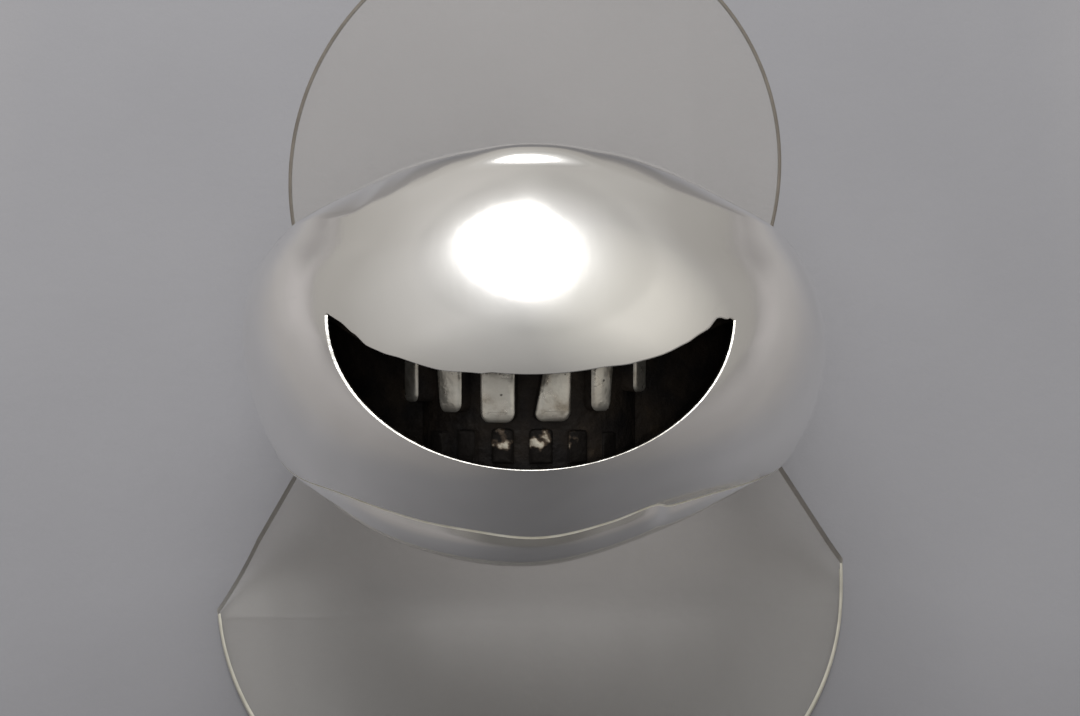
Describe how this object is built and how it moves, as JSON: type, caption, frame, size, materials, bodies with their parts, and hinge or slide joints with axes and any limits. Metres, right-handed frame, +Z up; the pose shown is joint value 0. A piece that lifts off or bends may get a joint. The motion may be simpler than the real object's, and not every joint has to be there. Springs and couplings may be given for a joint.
{
  "type": "dome ring on a clear display stand",
  "caption": "Polished silver dome ring with a grinning mouth cut through its hollow crown over a blackened recess with teeth, held leaning back by a clear plastic stand with a round foot.",
  "frame": {"origin": "On the surface it stands on, under the middle of the footprint.", "axes": "+Z is up. The stand's round foot is towards -Y and its tongue leans back towards +Y. The dome and its mouth face -Y and up, and the finger hole runs from front and below to back and above. +X is to the right of someone who faces the mouth."},
  "size_m": [0.0289, 0.0396, 0.0253],
  "materials": {
    "silver": "polished silver, blackened inside the mouth",
    "clear_plastic": "clear glossy sheet"
  },
  "bodies": {
    "root": {"ring": "silver", "stand": "clear_plastic"}
  },
  "joints": []
}
